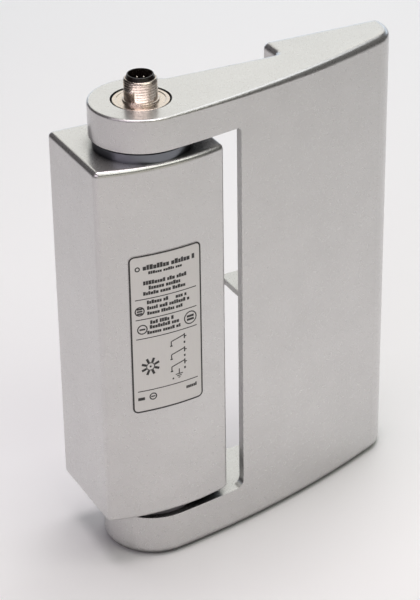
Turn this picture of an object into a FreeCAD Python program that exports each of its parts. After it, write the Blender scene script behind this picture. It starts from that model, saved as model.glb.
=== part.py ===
"""Hinge switch for a guard door: a die-cast housing with an M12 connector, held between the two
arms of a hollow die-cast bracket that turns about a vertical axis and lifts a contact plunger.

Millimetres, +Z up. The origin is on the hinge axis at the underside of the lower arm, +X runs
from the axis towards the free end of the bracket, and +Y points to the mounting faces at the rear.
"""

import FreeCAD
import Part

import math
import os

V = FreeCAD.Vector
X, Y, Z = V(1, 0, 0), V(0, 1, 0), V(0, 0, 1)

# ---------------------------------------------------------------- driving sizes
BRACKET_H = 181.0           # underside of the lower arm to the top of the upper arm
LOWER_ARM_H = 17.4
UPPER_ARM_H = 12.5
BARREL_R = 19.0             # round ends of both arms, centred on the hinge axis
WING_END_X = 110.5
WING_EDGE_X = 32.0          # edge of the bracket that faces the housing
REAR_Y = 24.7               # common plane of both mounting faces
FRONT_R = 375.0             # long front curve of the bracket, tangent to the barrels
FRONT_TANGENT_DEG = 6.8     # where on the barrel that curve starts
SKIN = 3.5                  # bracket panel
ARM_BACK_Y = 12.3
STEP_X = 60.9               # the arms step back to the mounting plane here

HOUSING_X0, HOUSING_X1 = -25.8, 24.5
HOUSING_Z0, HOUSING_Z1 = 20.1, 164.2
HOUSING_CREST_Y = -19.4     # most forward line of the housing's curved front
HOUSING_FRONT_R = 80.0
HOUSING_WALL = 4.2
CAVITY_Z0, CAVITY_Z1 = 34.0, 150.0

PIVOT_R = 7.0               # lower pivot pin
SLEEVE_R = 10.4             # upper pivot sleeve, which the connector's cable end passes through
RUNNING = 0.04              # radial clearance of both pivots
GAP = 0.3                   # clearance between faces that turn past each other

M12_R = 6.0
M12_TOP = BRACKET_H + 8.0
INSERT_TOP = BRACKET_H + 9.4
FLANGE_TOP = BRACKET_H - 0.6

OPENING_DEG = 180.0         # bracket travel
CAM_LIFT = 3.0              # plunger lift over that travel
FOLLOWER_Y = 9.5            # plunger axis behind the hinge axis

# ---------------------------------------------------------------- worked out from them
HOUSING_XC = (HOUSING_X0 + HOUSING_X1) / 2
HOUSING_HALF = (HOUSING_X1 - HOUSING_X0) / 2
HOUSING_FRONT_CY = HOUSING_CREST_Y + HOUSING_FRONT_R
UPPER_ARM_Z = BRACKET_H - UPPER_ARM_H
TANGENT = math.radians(FRONT_TANGENT_DEG)
FRONT_C = V(-(FRONT_R - BARREL_R) * math.sin(TANGENT), (FRONT_R - BARREL_R) * math.cos(TANGENT), 0)


# ---------------------------------------------------------------- helpers
def cylinder(r, z0, z1, x=0.0, y=0.0):
    """Upright cylinder from z0 to z1."""
    return Part.makeCylinder(r, z1 - z0, V(x, y, z0))


def tube(r_out, r_in, z0, z1, x=0.0, y=0.0):
    """Upright tube from z0 to z1."""
    return cylinder(r_out, z0, z1, x, y).cut(cylinder(r_in, z0 - 1, z1 + 1, x, y))


def rod_y(r, y0, y1, x, z):
    """Cylinder along +Y from y0 to y1."""
    return Part.makeCylinder(r, y1 - y0, V(x, y0, z), Y)


def box(x0, x1, y0, y1, z0, z1):
    return Part.makeBox(x1 - x0, y1 - y0, z1 - z0, V(x0, y0, z0))


def polygon_prism(points, depth):
    """Closed polygon through the points, carried along the vector depth."""
    return Part.Face(Part.makePolygon(points + points[:1])).extrude(depth)


def hexagon(across_flats, z0, z1):
    """Upright hexagonal prism on the hinge axis."""
    r = across_flats / math.sqrt(3)
    corners = [V(r * math.cos(k * math.pi / 3), r * math.sin(k * math.pi / 3), z0) for k in range(6)]
    return polygon_prism(corners, Z * (z1 - z0))


def fuse(shapes):
    """One solid of several that overlap, with the seams between coplanar faces removed."""
    return shapes[0].multiFuse(shapes[1:]).removeSplitter()


def edges_where(shape, test):
    return [e for e in shape.Edges if test(e)]


def runs_along_z(edge):
    a, b = edge.Vertexes[0].Point, edge.Vertexes[-1].Point
    return abs(a.x - b.x) < 1e-6 and abs(a.y - b.y) < 1e-6 and abs(a.z - b.z) > 1


def lies_at_z(edge, z):
    box_ = edge.BoundBox
    return abs(box_.ZMin - z) < 1e-6 and abs(box_.ZMax - z) < 1e-6


def save(name, shape):
    """Write one node, first checking that it holds only valid solids."""
    solids = shape.Solids
    assert solids and all(s.isValid() and s.Volume > 0 for s in solids), name
    out = solids[0] if len(solids) == 1 else Part.makeCompound(solids)
    out.exportStep(f"parts/{name}.step")


# ---------------------------------------------------------------- hinge bracket
def front_y(x, inset=0.0):
    """Front curve of the bracket, moved back by inset."""
    r = FRONT_R - inset
    return FRONT_C.y - math.sqrt(r * r - (x - FRONT_C.x) ** 2)


def bracket_outline():
    """Plan of the bracket: barrel, long front curve, free end, mounting plane, step, arm back."""
    start = V(BARREL_R * math.sin(TANGENT), -BARREL_R * math.cos(TANGENT), 0)
    end = V(WING_END_X, front_y(WING_END_X), 0)
    middle_x = (start.x + end.x) / 2
    front = Part.Arc(start, V(middle_x, front_y(middle_x), 0), end)
    barrel_back = V(math.sqrt(BARREL_R ** 2 - ARM_BACK_Y ** 2), ARM_BACK_Y, 0)
    corners = [end, V(WING_END_X, REAR_Y, 0), V(STEP_X, REAR_Y, 0), V(STEP_X, ARM_BACK_Y, 0), barrel_back]
    sides = [Part.LineSegment(a, b).toShape() for a, b in zip(corners, corners[1:])]
    barrel = Part.Arc(barrel_back, V(-BARREL_R, 0, 0), start)
    return Part.Face(Part.Wire([front.toShape()] + sides + [barrel.toShape()]))


def behind_panel(x0, x1, y1, z0, z1):
    """Space behind the bracket's front panel between x0 and x1, as far back as y1."""
    a, b = V(x0, front_y(x0, SKIN), z0), V(x1, front_y(x1, SKIN), z0)
    middle_x = (x0 + x1) / 2
    curve = Part.Arc(a, V(middle_x, front_y(middle_x, SKIN), z0), b).toShape()
    rest = Part.makePolygon([b, V(x1, y1, z0), V(x0, y1, z0), a])
    return Part.Face(Part.Wire([curve] + rest.Edges)).extrude(Z * (z1 - z0))


def tray():
    """Hollow rear side of the free half, its front corner rounded to keep the nose's wall even."""
    space = behind_panel(TRAY_X0, TRAY_X1, 40, TRAY_Z0, TRAY_Z1)
    nose = edges_where(space, lambda e: runs_along_z(e) and e.BoundBox.XMin > TRAY_X1 - 0.01
                       and e.BoundBox.YMax < REAR_Y)
    return space.makeFillet(NOSE_R - SKIN, nose)


def housing_window():
    """Space between the arms in front view, with rounded corners beside the panel."""
    low_r, high_r = 3.0, 1.6
    z0, z1, x1 = LOWER_ARM_H, UPPER_ARM_Z, WING_EDGE_X
    blank = box(-40, x1, -60, 60, z0, z1)
    low = edges_where(blank, lambda e: lies_at_z(e, z0) and abs(e.BoundBox.XMin - x1) < 1e-6)
    blank = blank.makeFillet(low_r, low)
    high = edges_where(blank, lambda e: lies_at_z(e, z1) and abs(e.BoundBox.XMin - x1) < 1e-6)
    return blank.makeFillet(high_r, high)


WING_WALL = 3.0
NOSE_R = 14.0               # rounded front corner of the free end
TRAY_X0, TRAY_X1 = STEP_X + WING_WALL, WING_END_X - SKIN
TRAY_Z0, TRAY_Z1 = 4.0, BRACKET_H - 4.0
WING_BOSS_R = 7.0
WING_BOSS_X = (69.5, 101.5)
WING_BOSS_Z = (30.5, 150.5)
WING_INSERT_R, WING_INSERT_L = 4.0, 12.0
RIB_Z, RIB_T = 98.8, 2.4
RIB_BACK_Y = 3.5
GRUB_R = 2.5
PIN_GRUB_Z = 9.5
PIN_HEAD_R, PIN_HEAD_H = 10.5, 3.6
BUSH_Z0, BUSH_Z1 = UPPER_ARM_Z + 0.4, BRACKET_H - 2.6
BUSH_R = 13.0
ARM_BORE_R = 10.9


def bracket_blank():
    """Solid outer form of the bracket, with every outer edge rounded."""
    solid = bracket_outline().extrude(Z * BRACKET_H)
    end_corners = edges_where(solid, lambda e: runs_along_z(e) and e.BoundBox.XMin > WING_END_X - 0.01)
    end_corners.sort(key=lambda e: e.BoundBox.YMin)
    solid = solid.makeFillet(NOSE_R, end_corners[:1])
    rear_corner = edges_where(solid, lambda e: runs_along_z(e) and e.BoundBox.YMin > REAR_Y - 0.01
                              and e.BoundBox.XMin > WING_END_X - 0.01)
    solid = solid.makeFillet(3.0, rear_corner)
    step = edges_where(solid, lambda e: runs_along_z(e) and abs(e.BoundBox.XMin - STEP_X) < 0.01)
    solid = solid.makeFillet(2.5, step)
    root = edges_where(solid, lambda e: runs_along_z(e) and abs(e.BoundBox.YMin - ARM_BACK_Y) < 0.01
                       and e.BoundBox.XMax < 20)
    solid = solid.makeFillet(6.0, root)
    front_top = edges_where(solid, lambda e: lies_at_z(e, BRACKET_H) and e.Length > 80)
    solid = solid.makeFillet(0.8, 3.0, front_top)
    return solid.makeFillet(3.4, edges_where(solid, lambda e: lies_at_z(e, 0.0)))


def wing_ribs():
    """Boss and rib work in the hollow side of the bracket."""
    shapes = []
    for z in WING_BOSS_Z:
        for x in WING_BOSS_X:
            shapes.append(rod_y(WING_BOSS_R, front_y(x) + 1.0, REAR_Y, x, z))
        shapes.append(box(TRAY_X0 - 1, TRAY_X1 + 1, -15, REAR_Y - 8, z - 1.2, z + 1.2))
    shapes.append(box(TRAY_X0 - 1, TRAY_X1 + 1, -15, REAR_Y - 4, RIB_Z, RIB_Z + RIB_T))
    shapes.append(box(WING_EDGE_X, STEP_X + 1, -25, RIB_BACK_Y, RIB_Z, RIB_Z + RIB_T))
    return shapes


def bracket_casting():
    blank = bracket_blank()
    body = blank.cut(housing_window())
    body = body.cut(behind_panel(WING_EDGE_X - 4, STEP_X, 40, LOWER_ARM_H, UPPER_ARM_Z))
    body = body.cut(tray())
    ribs = fuse(wing_ribs()).common(blank)
    body = fuse([body, ribs])
    for x in WING_BOSS_X:
        for z in WING_BOSS_Z:
            body = body.cut(rod_y(WING_INSERT_R, REAR_Y - WING_INSERT_L, REAR_Y + 1, x, z))
    body = body.cut(cylinder(ARM_BORE_R, UPPER_ARM_Z - 1, BRACKET_H + 1))
    body = body.cut(cylinder(BUSH_R, UPPER_ARM_Z - 1, BUSH_Z1))
    body = body.cut(cylinder(PIVOT_R, -1, LOWER_ARM_H + 1))
    body = body.cut(cylinder(PIN_HEAD_R, -1, PIN_HEAD_H))
    return body.cut(rod_y(GRUB_R, 0, BARREL_R + 2, 0, PIN_GRUB_Z))


def upper_arm_bush():
    """Polymer bush pressed into the upper arm from below."""
    return tube(BUSH_R, SLEEVE_R + RUNNING, BUSH_Z0, BUSH_Z1)


PIN_NECK_R, PIN_NECK_Z, PIN_TOP = 5.0, 35.0, 49.0


def lower_pivot_pin():
    """Headed pin pressed into the lower arm, flush below, with a seat for the cam above."""
    pin = fuse([cylinder(PIN_HEAD_R, 0, PIN_HEAD_H),
                cylinder(PIVOT_R, 0, PIN_NECK_Z),
                cylinder(PIN_NECK_R, PIN_NECK_Z - 1, PIN_TOP)])
    dimple = rod_y(GRUB_R - 1.0, PIVOT_R - 1.2, PIVOT_R + 2, 0, PIN_GRUB_Z)
    return pin.cut(dimple)


def grub_screw(tip_r, tip_y, body_y, end_y, z, r):
    """Socket grub screw along +Y with a dog tip."""
    screw = fuse([rod_y(tip_r, tip_y, body_y + 0.5, 0, z), rod_y(r, body_y, end_y, 0, z)])
    socket = hexagon(r, 0, 1.6)
    socket.rotate(V(0, 0, 0), X, -90)
    socket.translate(V(0, end_y - 1.5, z))
    return screw.cut(socket)


def pin_grub_screw():
    return grub_screw(GRUB_R - 1.0, PIVOT_R - 1.2, PIVOT_R + 0.2, 13.5, PIN_GRUB_Z, GRUB_R)


def lower_thrust_collar():
    """Washer on the lower arm that the housing stands clear of by one running gap."""
    return tube(16.5, PIVOT_R, LOWER_ARM_H, HOUSING_Z0 - GAP)


CAM_Z0, CAM_BASE = 37.0, 44.0
CAM_HUB_R, CAM_R = 7.6, 13.0
CAM_GRUB_Z, CAM_GRUB_R = 40.5, 1.5
FOLLOWER_DEG = 90.0
RAMP_MARGIN_DEG = 20.0


def ramp_height(deg):
    """Height of the cam face where the follower meets it once the bracket has turned by deg."""
    return CAM_BASE + CAM_LIFT * deg / OPENING_DEG


def cam_ramp():
    """Helical ramp lofted through radial sections, a little past both ends of the travel."""
    sections = []
    steps = 20
    for k in range(steps + 1):
        deg = -RAMP_MARGIN_DEG + (OPENING_DEG + 2 * RAMP_MARGIN_DEG) * k / steps
        a = math.radians(FOLLOWER_DEG + deg)
        radial = V(math.cos(a), math.sin(a), 0)
        low, high = Z * CAM_Z0, Z * ramp_height(deg)
        inner, outer = radial * (CAM_HUB_R - 1.2), radial * CAM_R
        corners = [inner + low, outer + low, outer + high, inner + high]
        sections.append(Part.makePolygon(corners + corners[:1]))
    return Part.makeLoft(sections, True, False)


def switching_cam():
    cam = fuse([cylinder(CAM_HUB_R, CAM_Z0, CAM_BASE - 1.0), cam_ramp()])
    cam = cam.cut(cylinder(PIN_NECK_R, CAM_Z0 - 1, CAM_BASE + 9))
    return cam.cut(rod_y(CAM_GRUB_R, -CAM_HUB_R - 1, 0, 0, CAM_GRUB_Z))


def cam_grub_screw():
    return rod_y(CAM_GRUB_R, -CAM_HUB_R + 0.4, -PIN_NECK_R, 0, CAM_GRUB_Z).cut(
        rod_y(0.7, -CAM_HUB_R, -CAM_HUB_R + 1.6, 0, CAM_GRUB_Z))


def wing_mount_inserts():
    """Steel inserts, tapped M6, in the four rear bosses of the bracket."""
    core = 2.5
    inserts = []
    for x in WING_BOSS_X:
        for z in WING_BOSS_Z:
            blank = rod_y(WING_INSERT_R, REAR_Y - WING_INSERT_L, REAR_Y, x, z)
            inserts.append(blank.cut(rod_y(core, REAR_Y - WING_INSERT_L + 1.5, REAR_Y + 1, x, z)))
    return Part.makeCompound(inserts)


# ---------------------------------------------------------------- housing
REBATE_HALF = HOUSING_HALF - 1.9
REBATE_Z0, REBATE_Z1 = CAVITY_Z0 - 2.4, CAVITY_Z1 + 2.4
GASKET_T, COVER_T, COVER_INSET = 0.8, 2.5, 0.5
LEDGE_Y = REAR_Y - COVER_INSET - COVER_T - GASKET_T
COVER_SCREW_X = HOUSING_HALF - HOUSING_WALL - 1.9
COVER_SCREW_Z = (CAVITY_Z0 + 1.9, (CAVITY_Z0 + CAVITY_Z1) / 2, CAVITY_Z1 - 1.9)
COVER_SCREW_R, COVER_BOSS_R = 1.5, 3.9
HOUSING_MOUNT_X, HOUSING_MOUNT_Z = 17.5, (26.5, 157.5)
HOUSING_MOUNT_R, HOUSING_MOUNT_DEPTH = 2.1, 12.0
PIN_BUSH_R, PIN_BUSH_TOP = 9.0, 31.0
PIN_BUSH_FLANGE_R, PIN_BUSH_FLANGE_T = 11.5, 1.5
SLEEVE_FLANGE_R, SLEEVE_FLANGE_T = 14.4, 3.0
SLEEVE_SCREW_R, SLEEVE_SCREW_PCD = 1.0, 24.6
POST_R, POST_BACK_Y, POST_Z = 4.2, -4.0, (60.0, 127.0)
POST_SCREW_R = 1.5


def housing_front_y(x, inset=0.0):
    """Curved front of the housing, moved back by inset."""
    r = HOUSING_FRONT_R - inset
    return HOUSING_FRONT_CY - math.sqrt(r * r - (x - HOUSING_XC) ** 2)


def curved_front_block(half, inset, y1, z0, z1):
    """Block with the housing's front curve, half wide each side of its middle, back to y1."""
    x0, x1 = HOUSING_XC - half, HOUSING_XC + half
    a, b = V(x0, housing_front_y(x0, inset), z0), V(x1, housing_front_y(x1, inset), z0)
    curve = Part.Arc(a, V(HOUSING_XC, housing_front_y(HOUSING_XC, inset), z0), b).toShape()
    rest = Part.makePolygon([b, V(x1, y1, z0), V(x0, y1, z0), a])
    return Part.Face(Part.Wire([curve] + rest.Edges)).extrude(Z * (z1 - z0))


def housing_blank():
    solid = curved_front_block(HOUSING_HALF, 0, REAR_Y, HOUSING_Z0, HOUSING_Z1)
    front = edges_where(solid, lambda e: runs_along_z(e) and e.BoundBox.YMax < 0)
    solid = solid.makeFillet(2.4, front)
    rear = edges_where(solid, lambda e: runs_along_z(e) and e.BoundBox.YMin > REAR_Y - 0.01)
    solid = solid.makeFillet(2.0, rear)
    solid = solid.makeFillet(1.9, edges_where(solid, lambda e: lies_at_z(e, HOUSING_Z1)))
    return solid.makeFillet(1.6, edges_where(solid, lambda e: lies_at_z(e, HOUSING_Z0)))


def cover_screw_places():
    return [(HOUSING_XC + side * COVER_SCREW_X, z) for side in (-1, 1) for z in COVER_SCREW_Z]


def housing_mount_places():
    return [(HOUSING_XC + side * HOUSING_MOUNT_X, z) for side in (-1, 1) for z in HOUSING_MOUNT_Z]


def cavity():
    """Inside of the housing, less the bosses that stand in it."""
    space = curved_front_block(HOUSING_HALF - HOUSING_WALL, 3.4, LEDGE_Y, CAVITY_Z0, CAVITY_Z1)
    bosses = [rod_y(COVER_BOSS_R, -20, LEDGE_Y + 1, x, z) for x, z in cover_screw_places()]
    bosses += [rod_y(POST_R, -20, POST_BACK_Y, 0, z) for z in POST_Z]
    bosses.append(rod_y(POST_R, -20, EARTH_Y, EARTH_X, EARTH_Z))
    for boss in bosses:
        space = space.cut(boss)
    return space


def rebate(clearance, y0, y1):
    """Recess that the rear cover and its gasket lie in."""
    x0, x1 = HOUSING_XC - REBATE_HALF + clearance, HOUSING_XC + REBATE_HALF - clearance
    block = box(x0, x1, y0, y1, REBATE_Z0 + clearance, REBATE_Z1 - clearance)
    corners = edges_where(block, lambda e: abs(e.BoundBox.YMax - e.BoundBox.YMin) > 0.1
                          and e.BoundBox.XLength < 1e-6 and e.BoundBox.ZLength < 1e-6)
    return block.makeFillet(3.0 - clearance, corners)


def housing_shell():
    body = housing_blank().cut(rebate(0, LEDGE_Y, REAR_Y + 2)).cut(cavity())
    for x, z in cover_screw_places():
        body = body.cut(rod_y(COVER_SCREW_R, LEDGE_Y - 9, LEDGE_Y + 1, x, z))
    for x, z in housing_mount_places():
        body = body.cut(rod_y(HOUSING_MOUNT_R, REAR_Y - HOUSING_MOUNT_DEPTH, REAR_Y + 1, x, z))
    for z in POST_Z:
        body = body.cut(rod_y(POST_SCREW_R, POST_BACK_Y - 8, POST_BACK_Y + 1, 0, z))
    body = body.cut(rod_y(POST_SCREW_R, EARTH_Y - 6, EARTH_Y + 1, EARTH_X, EARTH_Z))
    body = body.cut(cylinder(PIN_BUSH_R, HOUSING_Z0 - 1, CAVITY_Z0 + 1))
    body = body.cut(cylinder(PIN_BUSH_FLANGE_R, HOUSING_Z0 - 1, HOUSING_Z0 + PIN_BUSH_FLANGE_T))
    body = body.cut(cylinder(SLEEVE_R, CAVITY_Z1 - 1, HOUSING_Z1 + 1))
    for x, y in sleeve_screw_places():
        body = body.cut(cylinder(SLEEVE_SCREW_R, CAVITY_Z1 - 1, CAVITY_Z1 + 6, x, y))
    return body


def rear_cover():
    plate = rebate(0.15, LEDGE_Y + GASKET_T, REAR_Y - COVER_INSET)
    for x, z in cover_screw_places():
        plate = plate.cut(rod_y(COVER_SCREW_R + 0.1, LEDGE_Y, REAR_Y, x, z))
        sink = Part.makeCone(COVER_SCREW_R + 0.1, 3.1, 1.5, V(x, REAR_Y - COVER_INSET - 1.5, z), Y)
        plate = plate.cut(sink)
    return plate


def rear_gasket():
    """Flat seal that covers the ledge round the cavity."""
    sheet = rebate(0.3, LEDGE_Y, LEDGE_Y + GASKET_T)
    hole = cavity()
    hole.translate(Y * 3)
    sheet = sheet.cut(hole)
    for x, z in cover_screw_places():
        sheet = sheet.cut(rod_y(COVER_SCREW_R + 0.1, LEDGE_Y - 1, REAR_Y, x, z))
    return sheet


def countersunk_screw(x, z, head_y, length):
    """Countersunk M3 screw along -Y, with a hexagon socket."""
    head = Part.makeCone(COVER_SCREW_R, 3.0, 1.5, V(x, head_y - 1.5, z), Y)
    screw = fuse([head, rod_y(COVER_SCREW_R, head_y - length, head_y - 1.4, x, z)])
    socket = hexagon(2.0, 0, 1.4)
    socket.rotate(V(0, 0, 0), X, -90)
    socket.translate(V(x, head_y - 1.2, z))
    return screw.cut(socket)


def rear_cover_screws():
    head_y = REAR_Y - COVER_INSET - 0.05
    return Part.makeCompound([countersunk_screw(x, z, head_y, 9.0) for x, z in cover_screw_places()])


LABEL_XC, LABEL_HALF = -1.2, 14.2
LABEL_Z0, LABEL_Z1, LABEL_T = 66.2, 130.5, 0.25


def rating_label():
    """Thin plate that follows the housing's front curve."""
    outer = curved_front_block(LABEL_HALF + 2, -LABEL_T, 0, LABEL_Z0, LABEL_Z1)
    outer = outer.common(box(LABEL_XC - LABEL_HALF, LABEL_XC + LABEL_HALF, -60, 60, LABEL_Z0, LABEL_Z1))
    corners = edges_where(outer, lambda e: abs(e.BoundBox.YLength) > 5)
    outer = outer.makeFillet(2.0, corners)
    return outer.cut(curved_front_block(LABEL_HALF + 5, 0, 5, LABEL_Z0 - 5, LABEL_Z1 + 5))


def upper_thrust_collar():
    """Collar on the housing's top that the upper arm runs over, stepped in at its top edge."""
    ring = tube(17.8, SLEEVE_R, HOUSING_Z1, UPPER_ARM_Z - 1.1)
    return fuse([ring, tube(15.5, SLEEVE_R, UPPER_ARM_Z - 1.6, UPPER_ARM_Z - GAP)])


def upper_seal_ring():
    """Lip seal that closes the groove between the collar and the arm."""
    return tube(16.6, 15.5, UPPER_ARM_Z - 1.1, UPPER_ARM_Z - GAP)


# ---------------------------------------------------------------- upper pivot and connector
SLEEVE_TOP = FLANGE_TOP - 1.2 - 0.8
SLEEVE_BORE_R = 8.6
SLEEVE_CAP_T = 3.0
CONNECTOR_STUB_R = 6.3
CONNECTOR_FLANGE_R = 10.2
SEAL_T = 0.8
SHELL_LOW = SLEEVE_TOP - SLEEVE_CAP_T - 6.0
INSERT_R = 5.2
INSERT_FLOOR = INSERT_TOP - 8.2
PIN_R, PIN_RING_R = 0.4, 2.75


def sleeve_screw_places():
    r = SLEEVE_SCREW_PCD / 2
    return [(r * math.cos(math.radians(a)), r * math.sin(math.radians(a))) for a in (30, 150, 270)]


def upper_pivot_sleeve():
    """Hollow upper pivot with a flange under the housing's roof and a cap for the connector."""
    sleeve = fuse([cylinder(SLEEVE_R, CAVITY_Z1 - 1, SLEEVE_TOP),
                   cylinder(SLEEVE_FLANGE_R, CAVITY_Z1 - SLEEVE_FLANGE_T, CAVITY_Z1)])
    sleeve = sleeve.cut(cylinder(SLEEVE_BORE_R, CAVITY_Z1 - 9, SLEEVE_TOP - SLEEVE_CAP_T))
    sleeve = sleeve.cut(cylinder(CONNECTOR_STUB_R, SLEEVE_TOP - 9, SLEEVE_TOP + 1))
    for x, y in sleeve_screw_places():
        sleeve = sleeve.cut(cylinder(SLEEVE_SCREW_R, CAVITY_Z1 - 9, CAVITY_Z1 + 1, x, y))
    return sleeve


def sleeve_flange_screws():
    screws = []
    z = CAVITY_Z1 - SLEEVE_FLANGE_T
    for x, y in sleeve_screw_places():
        shank = cylinder(SLEEVE_SCREW_R, z - 0.5, CAVITY_Z1 + 5, x, y)
        head = cylinder(1.9, z - 1.4, z, x, y).cut(cylinder(0.8, z - 2, z - 0.6, x, y))
        screws.append(fuse([shank, head]))
    return Part.makeCompound(screws)


def connector_shell():
    """Metal body of the M12 connector: thread, flange and the stub through the sleeve's cap."""
    shell = fuse([cylinder(M12_R, FLANGE_TOP - 1, M12_TOP),
                  cylinder(CONNECTOR_FLANGE_R, FLANGE_TOP - 1.2, FLANGE_TOP),
                  cylinder(CONNECTOR_STUB_R, SHELL_LOW, FLANGE_TOP - 0.5)])
    rim = edges_where(shell, lambda e: lies_at_z(e, M12_TOP))
    return shell.makeChamfer(0.35, rim).cut(cylinder(INSERT_R, SHELL_LOW - 1, M12_TOP + 1))


def connector_seal_ring():
    """Flat seal between the connector's flange and the sleeve."""
    return tube(CONNECTOR_FLANGE_R - 0.4, CONNECTOR_STUB_R, SLEEVE_TOP, SLEEVE_TOP + SEAL_T)


def pin_places():
    """Seven contacts on a ring and one in the middle."""
    ring = [math.radians(90 + 360 * k / 7) for k in range(7)]
    return [(0.0, 0.0)] + [(PIN_RING_R * math.cos(a), PIN_RING_R * math.sin(a)) for a in ring]


def connector_insert():
    """Moulded insert: a cup round the pins with a tapered mouth and a keying rib, on a solid base."""
    cup_r = INSERT_R - 0.9
    mouth = Part.makeCone(INSERT_R, INSERT_R - 0.5, INSERT_TOP - M12_TOP, V(0, 0, M12_TOP))
    insert = fuse([cylinder(INSERT_R, SHELL_LOW + 1, M12_TOP), mouth])
    insert = insert.cut(cylinder(cup_r, INSERT_FLOOR, INSERT_TOP + 1))
    key = box(cup_r - 0.8, cup_r + 0.4, -0.6, 0.6, INSERT_FLOOR - 0.5, INSERT_TOP - 1.0)
    insert = fuse([insert, key])
    for x, y in pin_places():
        insert = insert.cut(cylinder(PIN_R, SHELL_LOW - 1, INSERT_FLOOR + 1, x, y))
    return insert


def connector_pins():
    return Part.makeCompound([cylinder(PIN_R, SHELL_LOW - 2, INSERT_TOP - 2.1, x, y)
                              for x, y in pin_places()])


def connector_locknut():
    """Thin nut that clamps the connector to the sleeve's cap from below."""
    top = SLEEVE_TOP - SLEEVE_CAP_T
    return hexagon(14.7, top - 2.2, top).cut(cylinder(CONNECTOR_STUB_R, top - 9, top + 1))


# ---------------------------------------------------------------- lower pivot of the housing
def lower_pin_bush():
    bush = fuse([cylinder(PIN_BUSH_R, HOUSING_Z0, PIN_BUSH_TOP),
                 cylinder(PIN_BUSH_FLANGE_R, HOUSING_Z0, HOUSING_Z0 + PIN_BUSH_FLANGE_T)])
    return bush.cut(cylinder(PIVOT_R + RUNNING, HOUSING_Z0 - 1, PIN_BUSH_TOP + 1))


def lower_seal_ring():
    return tube(PIN_BUSH_R, PIVOT_R + 2 * RUNNING, PIN_BUSH_TOP, CAVITY_Z0)


# ---------------------------------------------------------------- contact block
BLOCK_HALF, BLOCK_Y0, BLOCK_Y1 = 10.5, POST_BACK_Y, 18.0
BLOCK_Z0, BLOCK_Z1, BLOCK_WALL = 66.0, 121.0, 1.8
EAR_HALF, EAR_T = 5.0, 2.5
ROD_R, TIP_R = 2.2, 1.6
ROD_CLEARANCE = 0.05
ROD_TOP = BLOCK_Z1 + 4.0
FOLLOWER_GAP = 0.15
BRIDGE_HALF, BRIDGE_W, BRIDGE_T = 7.6, 5.0, 1.0
STRIP_X0, STRIP_X1, STRIP_T = 4.4, 13.8, 1.0
TERMINAL_X = 12.2
CLOSED_LEVELS, OPEN_LEVEL = (76.0, 88.0), 100.0
CONTACT_GAP = 0.1
SPRING_Z0, SPRING_Z1 = 108.0, BLOCK_Z1 - BLOCK_WALL
SPRING_WIRE, SPRING_MEAN_R, SPRING_TURNS = 0.35, 3.1, 7


def strip_levels():
    """Underside of each pair of fixed contacts: below a closed bridge, above the open one."""
    closed = [level - CONTACT_GAP - STRIP_T for level in CLOSED_LEVELS]
    return closed + [OPEN_LEVEL + BRIDGE_T + CAM_LIFT + CONTACT_GAP]


def strip(side, z):
    """One fixed contact, from inside the block out to its terminal."""
    x0, x1 = sorted((side * STRIP_X0, side * STRIP_X1))
    y0 = FOLLOWER_Y - BRIDGE_W / 2
    return box(x0, x1, y0, y0 + BRIDGE_W, z, z + STRIP_T)


def all_strips():
    return [strip(side, z) for z in strip_levels() for side in (-1, 1)]


def contact_block_case():
    """Moulded tray, open to the rear, with an ear above and below for its screws."""
    outer = box(-BLOCK_HALF, BLOCK_HALF, BLOCK_Y0, BLOCK_Y1 - BLOCK_WALL, BLOCK_Z0, BLOCK_Z1)
    inner = box(-BLOCK_HALF + BLOCK_WALL, BLOCK_HALF - BLOCK_WALL, BLOCK_Y0 + EAR_T, BLOCK_Y1,
                BLOCK_Z0 + BLOCK_WALL, BLOCK_Z1 - BLOCK_WALL)
    ears = box(-EAR_HALF, EAR_HALF, BLOCK_Y0, BLOCK_Y0 + EAR_T, POST_Z[0] - 5, POST_Z[1] + 5)
    case = fuse([outer.cut(inner), ears])
    for z in POST_Z:
        case = case.cut(rod_y(POST_SCREW_R, BLOCK_Y0 - 1, BLOCK_Y1, 0, z))
    case = case.cut(cylinder(ROD_R + ROD_CLEARANCE, BLOCK_Z0 - 1, BLOCK_Z1 + 1, 0, FOLLOWER_Y))
    for contact in all_strips():
        case = case.cut(contact)
    return case


def contact_block_cover():
    return box(-BLOCK_HALF, BLOCK_HALF, BLOCK_Y1 - BLOCK_WALL, BLOCK_Y1, BLOCK_Z0, BLOCK_Z1)


def contact_block_screws():
    """Two pan-head screws through the ears into the housing's posts."""
    screws = []
    y = BLOCK_Y0 + EAR_T
    for z in POST_Z:
        head = rod_y(2.7, y, y + 1.8, 0, z).cut(rod_y(1.0, y + 0.8, y + 3, 0, z))
        screws.append(fuse([rod_y(POST_SCREW_R, y - 9, y + 0.5, 0, z), head]))
    return Part.makeCompound(screws)


def terminal_screw(x, z):
    """Small screw down through a fixed contact outside the block."""
    y = FOLLOWER_Y
    return fuse([cylinder(0.9, z - 2.2, z + STRIP_T + 0.3, x, y),
                 cylinder(1.7, z + STRIP_T, z + STRIP_T + 1.3, x, y)])


def terminal_places():
    return [(side * TERMINAL_X, z) for z in strip_levels() for side in (-1, 1)]


def terminal_screws():
    return Part.makeCompound([terminal_screw(x, z) for x, z in terminal_places()])


def fixed_contacts():
    return Part.makeCompound([s.cut(cylinder(0.9, z - 1, z + 2, x, FOLLOWER_Y))
                              for s, (x, z) in zip(all_strips(), terminal_places())])


WIRE_R = 0.55
WIRE_STEP = 2.0
WIRE_TURN_Z, WIRE_TOP_Z = 130.0, 151.0
EARTH_X, EARTH_Z, EARTH_Y = 9.5, 139.0, -6.0


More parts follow.
